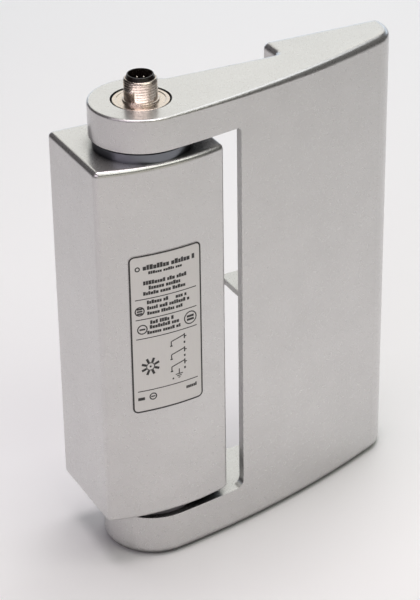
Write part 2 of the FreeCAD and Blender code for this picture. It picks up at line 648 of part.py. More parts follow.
def wire_path(points):
    """Straight runs joined by tangent arcs, each as large as its two runs allow."""
    edges, start = [], points[0]
    for before, corner, after in zip(points, points[1:], points[2:]):
        u, v = before - corner, after - corner
        reach = 0.45 * min(u.Length, v.Length)
        u, v = u.normalize(), v.normalize()
        half = u.getAngle(v) / 2
        bend_r = reach * math.tan(half)
        a, b = corner + u * reach, corner + v * reach
        middle = corner + (u + v).normalize() * (bend_r / math.sin(half) - bend_r)
        edges += [Part.LineSegment(start, a).toShape(), Part.Arc(a, middle, b).toShape()]
        start = b
    edges.append(Part.LineSegment(start, points[-1]).toShape())
    return Part.Wire(edges)


def wire(points):
    """One insulated conductor."""
    direction = (points[1] - points[0]).normalize()
    section = Part.Wire(Part.Circle(points[0], direction, WIRE_R).toShape())
    return wire_path(points).makePipeShell([section], True, False)


def internal_wires():
    """A conductor from each terminal up beside the block to its own pin, and the earth lead."""
    wires = []
    pins = pin_places()
    pin_order = {-1: (3, 2, 4), 1: (6, 7, 5)}
    pin_end = SHELL_LOW - 2
    for side in (-1, 1):
        for rank, z in enumerate(strip_levels()):
            px, py = pins[pin_order[side][rank]]
            x, y = side * TERMINAL_X, FOLLOWER_Y - BRIDGE_W / 2
            up_y = y - WIRE_STEP * (3 - rank)
            wires.append(wire([V(x, y, z + STRIP_T / 2), V(x, up_y, z + STRIP_T / 2),
                               V(x, up_y, WIRE_TURN_Z + 1.5 * rank), V(px, py, WIRE_TOP_Z),
                               V(px, py, pin_end)]))
    head_y = EARTH_Y + 1.6
    wires.append(wire([V(EARTH_X, head_y, EARTH_Z), V(EARTH_X, head_y + 3.0, EARTH_Z),
                       V(0, 0, WIRE_TOP_Z), V(0, 0, pin_end)]))
    return Part.makeCompound(wires)


def earth_terminal_screw():
    """Earth screw in a post of the housing."""
    head = rod_y(2.8, EARTH_Y, EARTH_Y + 1.6, EARTH_X, EARTH_Z)
    return fuse([head, rod_y(POST_SCREW_R, EARTH_Y - 6, EARTH_Y + 0.5, EARTH_X, EARTH_Z)])


# ---------------------------------------------------------------- plunger
def plunger_rod():
    """Rod with a ball tip on the cam and a shoulder under the spring."""
    tip_z = ramp_height(0) + FOLLOWER_GAP + TIP_R
    tip = Part.makeSphere(TIP_R, V(0, FOLLOWER_Y, tip_z))
    neck = cylinder(TIP_R, tip_z, tip_z + 2, 0, FOLLOWER_Y)
    shoulder = cylinder(4.2, SPRING_Z0 - 1.4, SPRING_Z0, 0, FOLLOWER_Y)
    rod = cylinder(ROD_R, tip_z + 1.5, ROD_TOP, 0, FOLLOWER_Y)
    return fuse([rod, tip, neck, shoulder])


def contact_bridges():
    """Three sprung bridges carried by the rod."""
    bridges = []
    y0 = FOLLOWER_Y - BRIDGE_W / 2
    for z in CLOSED_LEVELS + (OPEN_LEVEL,):
        plate = box(-BRIDGE_HALF, BRIDGE_HALF, y0, y0 + BRIDGE_W, z, z + BRIDGE_T)
        bridges.append(plate.cut(cylinder(ROD_R, z - 1, z + 2, 0, FOLLOWER_Y)))
    return Part.makeCompound(bridges)


def return_spring():
    """Compression spring between the rod's shoulder and the top of the block."""
    height = SPRING_Z1 - SPRING_Z0 - 2 * SPRING_WIRE - 0.1
    helix = Part.makeHelix(height / SPRING_TURNS, height, SPRING_MEAN_R)
    section = Part.Wire(Part.Circle(V(SPRING_MEAN_R, 0, 0), Y, SPRING_WIRE).toShape())
    coil = Part.Wire(helix.Edges).makePipeShell([section], True, True)
    coil.translate(V(0, FOLLOWER_Y, SPRING_Z0 + SPRING_WIRE + 0.05))
    return coil


# ---------------------------------------------------------------- all nodes
NODES = [
    bracket_casting, upper_arm_bush, upper_seal_ring, lower_pivot_pin, pin_grub_screw,
    lower_thrust_collar, switching_cam, cam_grub_screw, wing_mount_inserts,
    housing_shell, rear_cover, rear_gasket, rear_cover_screws, rating_label,
    upper_thrust_collar, upper_pivot_sleeve, sleeve_flange_screws,
    connector_shell, connector_seal_ring, connector_insert, connector_pins, connector_locknut,
    lower_pin_bush, lower_seal_ring,
    contact_block_case, contact_block_cover, contact_block_screws,
    fixed_contacts, terminal_screws, internal_wires, earth_terminal_screw,
    plunger_rod, contact_bridges, return_spring,
]

os.makedirs("parts", exist_ok=True)
for make in NODES:
    save(make.__name__, make())
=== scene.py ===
"""Safety hinge switch: finishes, connector, printed rating plate and studio stage around its frame.

Metres, in the frame's own axes: the hinge axis is Z, the bracket reaches along +X and the mounting
faces look along +Y. Pieces that are drawn in millimetres are scaled by MM as they are made.
"""

import math

import bmesh
import bpy
import numpy as np
from bpy.props import FloatProperty, FloatVectorProperty, IntProperty, PointerProperty
from mathutils import Matrix, Vector


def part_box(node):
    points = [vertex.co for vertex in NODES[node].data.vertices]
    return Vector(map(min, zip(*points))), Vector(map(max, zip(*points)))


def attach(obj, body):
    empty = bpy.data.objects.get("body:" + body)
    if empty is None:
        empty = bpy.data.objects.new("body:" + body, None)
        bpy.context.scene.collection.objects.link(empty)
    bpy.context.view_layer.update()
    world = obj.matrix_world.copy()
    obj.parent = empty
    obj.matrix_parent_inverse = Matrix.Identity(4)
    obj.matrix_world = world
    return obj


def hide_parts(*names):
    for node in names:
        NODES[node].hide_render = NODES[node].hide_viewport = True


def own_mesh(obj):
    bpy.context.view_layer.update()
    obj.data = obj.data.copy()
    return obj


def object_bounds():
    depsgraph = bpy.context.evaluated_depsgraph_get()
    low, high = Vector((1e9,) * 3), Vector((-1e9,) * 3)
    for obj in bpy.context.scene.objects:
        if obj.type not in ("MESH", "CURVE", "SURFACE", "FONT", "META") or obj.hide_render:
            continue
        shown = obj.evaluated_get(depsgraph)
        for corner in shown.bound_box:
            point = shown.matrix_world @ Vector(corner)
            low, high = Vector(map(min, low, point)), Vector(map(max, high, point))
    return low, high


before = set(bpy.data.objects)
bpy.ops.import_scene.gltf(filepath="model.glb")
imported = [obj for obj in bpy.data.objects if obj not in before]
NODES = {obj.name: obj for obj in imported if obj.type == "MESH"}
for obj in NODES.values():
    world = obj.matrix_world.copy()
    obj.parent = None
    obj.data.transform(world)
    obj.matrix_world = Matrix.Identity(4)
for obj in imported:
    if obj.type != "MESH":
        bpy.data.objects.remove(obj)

bl_info = {
    "name": "Hinge Switch",
    "version": (1, 0, 0),
    "blender": (4, 5, 0),
    "location": "View3D > Sidebar > Hinge Switch",
    "description": "Finishes, connector, rating plate and stage of a safety hinge switch",
    "category": "Object",
}

MM = 0.001
TURN = 2 * math.pi
CAD_BOX = [list(corner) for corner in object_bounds()]

# The connector, in millimetres.
THREAD_RADIUS = 6.0
THREAD_ROWS = 180
STUB_RADIUS = 6.3  # of the plain shell below the flange
FLANGE_SUNK = 0.2  # the flange's rim lies this far below the bracket's top
FLANGE_THICKNESS = 1.6
CUP_DEPTH = 8.2
CUP_WALL = 0.9
KEY_HALF_WIDTH, KEY_HEIGHT, KEY_EASE = 0.75, 0.8, 0.3
KEY_BELOW_RIM = 0.9
PIN_RADIUS = 0.42
PIN_RING_RADIUS = 2.75

# The rating plate, in millimetres.
FRONT_RADIUS = 80.25  # of the plate's face on the housing's bowed front
PLATE_THICKNESS = 0.25

# The stage, in metres.
FLOOR_HALF = 4.0
FLOOR_DROP = 0.1 * MM  # below the lower arm, so that the two faces don't fight
LIGHT_REACH = 1.1
WORLD_STRENGTH = 0.02
SENSOR = 36  # millimetres


# ---------------------------------------------------------------- settings a user may change
class CastingFinish(bpy.types.PropertyGroup):
    """Satin lacquer on the die-cast housing and bracket."""

    colour: FloatVectorProperty(
        name="Colour", description="Lacquer colour", subtype="COLOR", size=3, min=0, max=1,
        default=(0.615, 0.605, 0.60))
    metal: FloatProperty(
        name="Metal", description="Share of metal flake in the lacquer", subtype="FACTOR",
        min=0, max=1, default=0.85)
    roughness: FloatProperty(
        name="Roughness", description="Mean roughness of the lacquer", subtype="FACTOR",
        min=0, max=1, default=0.28)
    grain: FloatProperty(
        name="Grain", description="Width of one grain of the blasted surface", unit="LENGTH",
        default=0.45 * MM)
    grain_depth: FloatProperty(
        name="Grain depth", description="Depth of the grain", unit="LENGTH", default=0.006 * MM)
    cloud: FloatProperty(
        name="Cloud", description="Width of the faint clouds in the lacquer", unit="LENGTH",
        default=16 * MM)
    worn: FloatVectorProperty(
        name="Worn edge", description="Colour of the metal that shows on rubbed edges",
        subtype="COLOR", size=3, min=0, max=1, default=(0.72, 0.72, 0.71))


class ConnectorSizes(bpy.types.PropertyGroup):
    """Visible details of the M12 connector."""

    pitch: FloatProperty(
        name="Pitch", description="Advance of the thread in one turn", unit="LENGTH",
        default=1 * MM)
    thread_depth: FloatProperty(
        name="Thread depth", description="Crest to root of the thread", unit="LENGTH",
        default=0.4 * MM)
    colour: FloatVectorProperty(
        name="Nickel", description="Colour of the nickel plating", subtype="COLOR", size=3,
        min=0, max=1, default=(0.70, 0.61, 0.54))
    segments: IntProperty(
        name="Segments", description="Facets round the axis", default=144, min=24)


class PlateSizes(bpy.types.PropertyGroup):
    """Rating plate and its print."""

    ground: FloatVectorProperty(
        name="Ground", description="Colour of the silver film", subtype="COLOR", size=3,
        min=0, max=1, default=(0.70, 0.68, 0.665))
    ink: FloatVectorProperty(
        name="Ink", description="Colour of the print", subtype="COLOR", size=3, min=0, max=1,
        default=(0.03, 0.028, 0.028))
    ink_height: FloatProperty(
        name="Ink height", description="How far the print stands up", unit="LENGTH",
        default=0.02 * MM)
    corner: FloatProperty(
        name="Corner", description="Radius of the plate's corners", unit="LENGTH",
        default=2.0 * MM)
    seed: IntProperty(name="Seed", description="Order of the blocks in the print", default=7)


class StageSettings(bpy.types.PropertyGroup):
    """Floor, lights and camera."""

    floor: FloatVectorProperty(
        name="Floor", description="Colour of the floor", subtype="COLOR", size=3, min=0, max=1,
        default=(0.94, 0.94, 0.94))
    lens: FloatProperty(
        name="Lens", description="Focal length in millimetres on a 36 mm frame", default=134.0)
    yaw: FloatProperty(
        name="Yaw", description="How far the view turns from +Y towards +X", subtype="ANGLE",
        default=math.radians(26.786))
    pitch: FloatProperty(
        name="Pitch", description="How far the view looks down", subtype="ANGLE",
        default=math.radians(29.131))
    roll: FloatProperty(
        name="Roll", description="Turn of the frame about the view", subtype="ANGLE",
        default=math.radians(-0.834))
    camera: FloatVectorProperty(
        name="Camera", description="Place of the camera", subtype="TRANSLATION", size=3,
        default=(-0.3004, -0.6461, 0.4972))


# ---------------------------------------------------------------- surfaces
def grid_faces(rows, columns, rows_closed=False):
    """Quads between neighbours of a rows x columns grid. The last column joins the first, and the
    last row joins the first too if the rows are closed."""
    i, j = np.meshgrid(
        np.arange(rows if rows_closed else rows - 1), np.arange(columns), indexing="ij")
    i_next, j_next = (i + 1) % rows, (j + 1) % columns
    corners = ((i, j), (i, j_next), (i_next, j_next), (i_next, j))
    return np.stack([row * columns + column for row, column in corners], -1).reshape(-1, 4)


def eased(points, radii, steps=7):
    """Outline with each corner eased: the parabola (1-t)^2 A + 2t(1-t) P + t^2 B through the points
    A and B at that corner's radius from it, with one more point just outside A and B that keeps
    the shading of the flats beside it flat."""
    guard = 1.12  # how many radii from the corner that point is
    corner = np.asarray(points, float)
    size = np.broadcast_to(np.asarray(radii, float), len(corner))[:, None, None]
    before, after = np.roll(corner, 1, 0) - corner, np.roll(corner, -1, 0) - corner
    before /= np.linalg.norm(before, axis=1, keepdims=True)
    after /= np.linalg.norm(after, axis=1, keepdims=True)
    t = np.linspace(0, 1, steps)[None, :, None]
    arc = corner[:, None] + size * ((1 - t) ** 2 * before[:, None] + t ** 2 * after[:, None])
    outer_before = corner[:, None] + guard * size * before[:, None]
    outer_after = corner[:, None] + guard * size * after[:, None]
    return np.concatenate([outer_before, arc, outer_after], 1).reshape(-1, corner.shape[1])


def column_angles(count):
    """Angles of the columns of a turned surface, which go once round."""
    return np.linspace(0, TURN, count, endpoint=False)[None, :]


def lathe_grid(outline, columns):
    """Radius and height of every point of an outline that is repeated along the columns."""
    return np.repeat(outline[:, :1], columns, 1), np.repeat(outline[:, 1:], columns, 1)


def turned(radius, height):
    """Rows of radius and height turned round the Z axis: (r cos a, r sin a, z), where a goes once
    round along the columns."""
    angle = column_angles(radius.shape[1])
    return np.stack([radius * np.cos(angle), radius * np.sin(angle), height], -1).reshape(-1, 3)


def make_piece(name, points, faces, finish, body, replaced=()):
    """A smooth mesh piece from points in millimetres, which rides on a body, takes its finish from
    a slot and stands for the replaced nodes."""
    mesh = bpy.data.meshes.new(name)
    mesh.from_pydata(np.asarray(points, float) * MM, [], np.asarray(faces))
    mesh.polygons.foreach_set("use_smooth", np.ones(len(mesh.polygons), bool))
    mesh.materials.append(finish)
    mesh.validate()
    mesh.update()
    piece = bpy.data.objects.new(name, mesh)
    bpy.context.scene.collection.objects.link(piece)
    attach(piece, body)
    if replaced:
        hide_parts(*replaced)
    return piece


def close_poles(piece):
    """Merge the points that fall together where a surface closes in the middle."""
    shape = bmesh.new()
    shape.from_mesh(piece.data)
    bmesh.ops.remove_doubles(shape, verts=shape.verts, dist=1e-7)
    bmesh.ops.dissolve_degenerate(shape, edges=shape.edges, dist=1e-8)
    shape.to_mesh(piece.data)
    shape.free()


def box_mm(node):
    """Lowest and highest corner of a CAD node in millimetres."""
    low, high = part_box(node)
    return np.array(low) / MM, np.array(high) / MM


# ---------------------------------------------------------------- shader groups
def new_group(name, inputs, outputs):
    """Empty shader group with float inputs {name: default} and the named outputs."""
    group = bpy.data.node_groups.new(name, "ShaderNodeTree")
    for title, value in inputs.items():
        socket = group.interface.new_socket(title, in_out="INPUT", socket_type="NodeSocketFloat")
        socket.default_value = value
    for title in outputs:
        group.interface.new_socket(title, in_out="OUTPUT", socket_type="NodeSocketFloat")
    return group, group.nodes.new("NodeGroupInput"), group.nodes.new("NodeGroupOutput")


def maths(tree, operation, first, second=None, third=None, clamp=False):
    """Math node whose operands are sockets or numbers."""
    node = tree.nodes.new("ShaderNodeMath")
    node.operation, node.use_clamp = operation, clamp
    for socket, value in zip(node.inputs, (first, second, third)):
        if isinstance(value, bpy.types.NodeSocket):
            tree.links.new(value, socket)
        elif value is not None:
            socket.default_value = value
    return node.outputs[0]


def noise(tree, width, detail=2.0, stretch=None):
    """Noise in object space whose cells are width across, where width is a socket or a number. The
    stretch multiplies the coordinates."""
    place = tree.nodes.new("ShaderNodeTexCoord").outputs["Object"]
    if stretch is not None:
        mapping = tree.nodes.new("ShaderNodeMapping")
        mapping.inputs["Scale"].default_value = stretch
        tree.links.new(place, mapping.inputs["Vector"])
        place = mapping.outputs["Vector"]
    texture = tree.nodes.new("ShaderNodeTexNoise")
    texture.inputs["Detail"].default_value = detail
    tree.links.new(place, texture.inputs["Vector"])
    tree.links.new(maths(tree, "DIVIDE", 1.0, width), texture.inputs["Scale"])
    return texture.outputs["Fac"]


def grain_group():
    """Blasted or moulded surface. Height is two octaves of fine noise, Cloud a broad one."""
    group, given, out = new_group(
        "surface_grain", {"Grain": 0.4 * MM, "Cloud": 16 * MM}, ("Height", "Cloud"))
    fine = noise(group, given.outputs["Grain"], detail=3)
    coarse = noise(group, maths(group, "MULTIPLY", given.outputs["Grain"], 3.3), detail=1)
    shares = [maths(group, "MULTIPLY", fine, 0.7), maths(group, "MULTIPLY", coarse, 0.3)]
    group.links.new(maths(group, "ADD", *shares), out.inputs["Height"])
    group.links.new(noise(group, given.outputs["Cloud"], detail=3), out.inputs["Cloud"])
    return group


def closeness(group, reach, inside):
    """Share of directions that meet a face within reach, outside or inside the solid."""
    node = group.nodes.new("ShaderNodeAmbientOcclusion")
    node.inside, node.samples = inside, 6
    group.links.new(reach, node.inputs["Distance"])
    return maths(group, "SUBTRACT", 1.0, node.outputs["AO"], clamp=True)


def wear_and_shade_group():
    """Rubbed is high where the solid is thin behind the surface, as at a convex edge, broken up by
    noise. The second output is painted shade, high where other faces stand close in front, as in a
    crevice."""
    group, given, out = new_group(
        "edge_wear_and_shade", {"Edge": 0.8 * MM, "Patch": 3 * MM, "Crevice": 3 * MM}, ("Rubbed", "Painted shade"))
    edge = closeness(group, given.outputs["Edge"], inside=True)
    crevice = closeness(group, given.outputs["Crevice"], inside=False)
    mottle = noise(group, given.outputs["Patch"], detail=4)
    patch = maths(group, "MULTIPLY_ADD", mottle, 2.2, -0.6, clamp=True)
    group.links.new(maths(group, "MULTIPLY", edge, patch, clamp=True), out.inputs["Rubbed"])
    group.links.new(crevice, out.inputs["Painted shade"])
    return group


def lathe_group():
    """Turned finish: Rings is noise of the distance from the hinge axis plus the height, so it
    makes fine circles round the axis."""
    group, given, out = new_group("lathe_rings", {"Ring": 0.12 * MM}, ("Rings",))
    place = group.nodes.new("ShaderNodeTexCoord").outputs["Object"]
    split = group.nodes.new("ShaderNodeSeparateXYZ")
    group.links.new(place, split.inputs[0])
    squares = [maths(group, "MULTIPLY", split.outputs[k], split.outputs[k]) for k in range(2)]
    radius = maths(group, "SQRT", maths(group, "ADD", *squares))
    along = maths(group, "ADD", radius, split.outputs[2])
    texture = group.nodes.new("ShaderNodeTexNoise")
    texture.noise_dimensions = "1D"
    texture.inputs["Detail"].default_value = 3
    group.links.new(along, texture.inputs["W"])
    group.links.new(maths(group, "DIVIDE", 1.0, given.outputs["Ring"]), texture.inputs["Scale"])
    group.links.new(texture.outputs["Fac"], out.inputs["Rings"])
    return group


GROUPS = {"surface_grain": grain_group, "edge_wear_and_shade": wear_and_shade_group, "lathe_rings": lathe_group}


def place_group(tree, name, **values):
    """The named effect as a node with its own input values. It is built the first time."""
    node = tree.nodes.new("ShaderNodeGroup")
    node.node_tree = bpy.data.node_groups.get(name) or GROUPS[name]()
    for title, value in values.items():
        node.inputs[title.capitalize()].default_value = value
    return node


# ---------------------------------------------------------------- finishes
def new_finish(name, metallic, roughness):
    """Material with its tree and its Principled shader, ready for links to its inputs."""
    finish = bpy.data.materials.new(name)
    finish.use_nodes = True
    shader = finish.node_tree.nodes["Principled BSDF"]
    shader.inputs["Metallic"].default_value = metallic
    shader.inputs["Roughness"].default_value = roughness
    return finish, finish.node_tree, shader


def uneven(tree, mask, middle, spread):
    """Value that goes with the mask from half the spread below the middle to half of it above."""
    return maths(tree, "MULTIPLY_ADD", mask, spread, middle - spread / 2)


def toned(tree, mask, colour, darkest, lightest):
    """Shades of one colour, from the darkest factor of it to the lightest, with the mask."""
    return blended(tree, mask, tint(colour, darkest), tint(colour, lightest))


def blended(tree, mask, low, high):
    """Colour that goes from low to high with the mask. Each is a colour or a socket."""
    mix = tree.nodes.new("ShaderNodeMix")
    mix.data_type = "RGBA"
    tree.links.new(mask, mix.inputs["Factor"])
    for socket, value in ((mix.inputs["A"], low), (mix.inputs["B"], high)):
        if isinstance(value, bpy.types.NodeSocket):
            tree.links.new(value, socket)
        else:
            socket.default_value = (*value, 1.0)
    return mix.outputs["Result"]


def tint(colour, factor):
    """The colour made lighter or darker by a factor."""
    return tuple(min(1.0, c * factor) for c in colour)


def bump(tree, shader, height, depth):
    """Height from 0 to 1 as relief of that depth in metres."""
    node = tree.nodes.new("ShaderNodeBump")
    node.inputs["Distance"].default_value = depth
    tree.links.new(height, node.inputs["Height"])
    tree.links.new(node.outputs["Normal"], shader.inputs["Normal"])


def cast_finish(settings):
    """Satin silver lacquer over a blasted casting: grain, faint clouds, rubbed edges and painted
    shade that darkens corners and gaps."""
    finish, tree, shader = new_finish("cast_lacquer", settings.metal, settings.roughness)
    colour = tuple(settings.colour)
    grain = place_group(tree, "surface_grain", grain=settings.grain, cloud=settings.cloud)
    wear_and_shade = place_group(tree, "edge_wear_and_shade", edge=0.7 * MM, patch=4 * MM, crevice=8 * MM)
    clouded = toned(tree, grain.outputs["Cloud"], colour, 0.94, 1.06)
    rubbed = maths(tree, "MULTIPLY", wear_and_shade.outputs["Rubbed"], 0.35)
    worn = blended(tree, rubbed, clouded, tuple(settings.worn))
    # Painted shade: only gaps that are more than about a third closed go dark.
    painted_shade = maths(tree, "MULTIPLY_ADD", wear_and_shade.outputs["Painted shade"], 2.4, -0.70, clamp=True)
    tree.links.new(blended(tree, painted_shade, worn, tint(colour, 0.10)), shader.inputs["Base Color"])
    # Rubbed edges are smoother.
    rough = uneven(tree, grain.outputs["Height"], settings.roughness, 0.06)
    rough = maths(tree, "MULTIPLY_ADD", rubbed, -0.15, rough)
    tree.links.new(rough, shader.inputs["Roughness"])
    bump(tree, shader, grain.outputs["Height"], settings.grain_depth)
    return finish


def cover_finish(settings):
    """Pressed rear cover in a plainer grey of the same lacquer."""
    finish, tree, shader = new_finish("cover_lacquer", 0.5, 0.45)
    grain = place_group(tree, "surface_grain", grain=0.6 * MM, cloud=22 * MM)
    colour = tuple(settings.colour)
    tree.links.new(
        toned(tree, grain.outputs["Cloud"], colour, 0.8, 0.95), shader.inputs["Base Color"])
    bump(tree, shader, grain.outputs["Height"], 0.015 * MM)
    return finish


def metal_finish(name, colour, roughness, ring=None, crevice=1.0 * MM):
    """Bare or plated metal: tone and roughness vary in clouds, with shade painted darker in gaps up
    to the crevice width, and lathe rings of the ring width in place of the grain if asked."""
    finish, tree, shader = new_finish(name, 1.0, roughness)
    grain = place_group(tree, "surface_grain", grain=0.25 * MM, cloud=5 * MM)
    wear_and_shade = place_group(tree, "edge_wear_and_shade", edge=0.35 * MM, patch=1.5 * MM, crevice=crevice)
    clouded = toned(tree, grain.outputs["Cloud"], colour, 0.9, 1.08)
    # Painted shade: gaps go dark towards a quarter of the colour.
    painted_shade = maths(tree, "MULTIPLY", wear_and_shade.outputs["Painted shade"], 0.40)
    tree.links.new(blended(tree, painted_shade, clouded, tint(colour, 0.25)), shader.inputs["Base Color"])
    rough = uneven(tree, grain.outputs["Cloud"], roughness, 0.08)
    tree.links.new(rough, shader.inputs["Roughness"])
    if ring is None:
        bump(tree, shader, grain.outputs["Height"], 0.004 * MM)
    else:
        rings = place_group(tree, "lathe_rings", ring=ring)
        bump(tree, shader, rings.outputs["Rings"], 0.003 * MM)
    return finish


def moulded_finish(name, colour, roughness, grain_width=0.25 * MM, depth=0.01 * MM):
    """Moulded plastic or rubber: fine spark-eroded grain, lighter where edges are rubbed."""
    finish, tree, shader = new_finish(name, 0.0, roughness)
    grain = place_group(tree, "surface_grain", grain=grain_width, cloud=6 * MM)
    wear_and_shade = place_group(tree, "edge_wear_and_shade", edge=0.3 * MM, patch=1.2 * MM, crevice=1.2 * MM)
    clouded = toned(tree, grain.outputs["Cloud"], colour, 0.85, 1.15)
    rubbed = maths(tree, "MULTIPLY", wear_and_shade.outputs["Rubbed"], 0.25)
    pale = tuple(0.7 * c + 0.12 for c in colour)
    tree.links.new(blended(tree, rubbed, clouded, pale), shader.inputs["Base Color"])
    rough = uneven(tree, grain.outputs["Height"], roughness, 0.2)
    tree.links.new(rough, shader.inputs["Roughness"])
    bump(tree, shader, grain.outputs["Height"], depth)
    return finish


def film_finish(settings):
    """Matt silver polyester film with a faint brushed streak along its height."""
    finish, tree, shader = new_finish("plate_film", 0.35, 0.42)
    streak = noise(tree, 0.25 * MM, detail=2, stretch=(1, 1, 0.05))
    tree.links.new(
        toned(tree, streak, tuple(settings.ground), 0.96, 1.04), shader.inputs["Base Color"])
    bump(tree, shader, streak, 0.004 * MM)
    return finish


def ink_finish(settings):
    """Screen-printed ink, a little uneven in cover."""
    finish, tree, shader = new_finish("plate_ink", 0.0, 0.55)
    cover = noise(tree, 0.3 * MM, detail=2)
    tree.links.new(
        toned(tree, cover, tuple(settings.ink), 0.7, 1.6), shader.inputs["Base Color"])
    return finish


def apply_finish(finish, *nodes):
    """Put the finish into every material slot of the CAD nodes."""
    for node in nodes:
        for slot in NODES[node].material_slots:
            slot.material = finish


# ---------------------------------------------------------------- connector
def thread_cut(height, angle, low, high, pitch, depth):
    """Depth of the thread below its crest: the rounded wave (1 - cos(2 pi phase)) / 2 of the phase
    height/pitch - angle/turn, which fades in over one pitch above low and out over 0.6 of a pitch
    below high."""
    cut = depth * (1 - np.cos(TURN * (height / pitch - angle / TURN))) / 2
    fade_in = np.clip((height - low) / pitch, 0, 1)
    fade_out = np.clip((high - height) / (0.6 * pitch), 0, 1)
    return cut * fade_in * fade_out


def shell_outline(low, high, inner):
    """Closed outline of the shell, as radius and height: up the bore, over the rim, down the thread
    in many rows, over the neck collar and the flange with its raised rim, and down the stub."""
    outer, top = high[0], high[2]
    flange = box_mm("bracket_casting")[1][2] - FLANGE_SUNK
    crest = THREAD_RADIUS
    corners = [
        (inner, low[2], 0.1), (inner, top, 0.1),
        (crest - 0.5, top, 0.12), (crest, top - 0.5, 0.15),
        (crest, flange + 0.55, 0.12), (crest + 0.5, flange + 0.4, 0.15),
        (crest + 0.55, flange - 0.2, 0.12), (outer - 1.5, flange - 0.2, 0.12),
        (outer - 1.3, flange, 0.1), (outer, flange, 0.22),
        (outer, flange - FLANGE_THICKNESS, 0.12),
        (STUB_RADIUS, flange - FLANGE_THICKNESS, 0.1), (STUB_RADIUS, low[2], 0.1)]
    outline = eased([corner[:2] for corner in corners], [corner[2] for corner in corners])
    rim = outline[:, 1].argmax()
    below_rim = rim + np.argmax(outline[rim:, 1] < top - 0.6)
    rows = np.linspace(top - 0.75, flange + 0.8, THREAD_ROWS)
    thread = np.stack([np.full(THREAD_ROWS, crest), rows], -1)
    return np.concatenate([outline[:below_rim], thread, outline[below_rim:]]), flange


def connector_body(sizes, finish):
    """Threaded metal shell: its outline turned round the axis, with the thread cut into it."""
    low, high = box_mm("connector_shell")
    outline, flange = shell_outline(low, high, box_mm("connector_insert")[1][0])
    radius, height = lathe_grid(outline, sizes.segments)
    cut = thread_cut(
        height, column_angles(sizes.segments), flange + 0.6, high[2] - 0.5,
        sizes.pitch / MM, sizes.thread_depth / MM)
    on_thread = np.abs(radius - THREAD_RADIUS) < 0.01
    faces = grid_faces(len(outline), sizes.segments, rows_closed=True)
    make_piece(
        "connector_body", turned(radius - np.where(on_thread, cut, 0), height), faces, finish,
        "housing", ["connector_shell"])


def cup_outline(low, high, inner):
    """Outline of the insert, as radius and height: from the middle of the cup's floor, up its wall
    in many rows, over the rim and down to the middle of its base."""
    outer, floor, top = high[0], high[2] - CUP_DEPTH, high[2]
    shell_top = box_mm("connector_shell")[1][2]
    corners = [
        (0.0, floor, 0.01), (inner, floor, 0.25), (inner, top, 0.1), (outer - 0.5, top, 0.14),
        (outer - 0.05, shell_top, 0.2), (outer - 0.05, low[2], 0.2), (0.0, low[2], 0.01)]
    outline = eased([corner[:2] for corner in corners], [corner[2] for corner in corners], steps=6)
    outline[:, 0] = np.clip(outline[:, 0], 0, None)
    moved = np.linalg.norm(np.diff(outline, axis=0), axis=1) > 1e-6
    outline = outline[np.concatenate([[True], moved])][2:-2]
    outline[0, 0] = outline[-1, 0] = 0.0
    on_wall = (np.abs(outline[:, 0] - inner) < 0.02) & (outline[:, 1] > floor + 0.1)
    rows = np.flatnonzero(on_wall)
    split = rows[len(rows) // 2]
    heights = np.linspace(outline[split - 1, 1], outline[split, 1], 26)[1:-1]
    wall = np.stack([np.full(len(heights), inner), heights], -1)
    return np.concatenate([outline[:split], wall, outline[split:]])


def connector_cup(sizes, finish):
    """Moulded insert: its outline turned round the axis. The keying rib is the cup's wall moved
    inwards by a smooth step in angle and in height."""
    low, high = box_mm("connector_insert")
    inner = high[0] - CUP_WALL
    outline = cup_outline(low, high, inner)
    radius, height = lathe_grid(outline, sizes.segments)
    across = np.abs((column_angles(sizes.segments) + math.pi) % TURN - math.pi) * inner
    rib = KEY_HEIGHT * np.clip((KEY_HALF_WIDTH - across) / KEY_EASE, 0, 1)
    rib = rib * np.clip((high[2] - KEY_BELOW_RIM - height) / KEY_EASE, 0, 1)
    radius = radius - np.where(np.abs(radius - inner) < 0.02, rib, 0)
    faces = grid_faces(len(outline), sizes.segments)[:, ::-1]
    close_poles(make_piece(
        "connector_cup", turned(radius, height), faces, finish, "housing",
        ["connector_insert"]))


def connector_contacts(finish):
    """Eight pins: a straight shank under a round nose, r = R sqrt(1 - t^2) over the last R of
    height, repeated at seven places on a ring and one in the middle."""
    low, high = box_mm("connector_pins")
    base, shoulder, facets = low[2], high[2] - PIN_RADIUS, 20
    t = np.linspace(0, 1, 9)
    nose = PIN_RADIUS * np.stack([np.sqrt(np.clip(1 - t ** 2, 0, 1)), t], -1) + [0, shoulder]
    shank = [[0, base], [PIN_RADIUS, base], [PIN_RADIUS, shoulder - 0.02]]
    outline = np.concatenate([shank, nose])
    pin = turned(*lathe_grid(outline, facets))
    spread = np.radians(90 + 360 * np.arange(7) / 7)
    ring = PIN_RING_RADIUS * np.stack([np.cos(spread), np.sin(spread)], -1)
    places = np.concatenate([[[0, 0]], ring])
    points = (pin[None] + np.pad(places, ((0, 0), (0, 1)))[:, None]).reshape(-1, 3)
    faces = grid_faces(len(outline), facets) + len(pin) * np.arange(len(places))[:, None, None]
    close_poles(make_piece(
        "connector_contacts", points, faces.reshape(-1, 4), finish, "housing",
        ["connector_pins"]))


# ---------------------------------------------------------------- rating plate
def plate_frame():
    """Where the plate lies, in millimetres: the x of the axis of the housing's front curve, how far
    the plate's middle is to the side of it, the middle's z, half width, half height, and the y of
    the curve's crest."""
    low, high = box_mm("rating_label")
    axis = sum(corner[0] for corner in box_mm("housing_shell")) / 2
    middle, half = (low + high) / 2, (high - low) / 2
    return {
        "axis": axis, "aside": middle[0] - axis, "z": middle[2],
        "half_width": half[0], "half_height": half[2], "crest": low[1]}


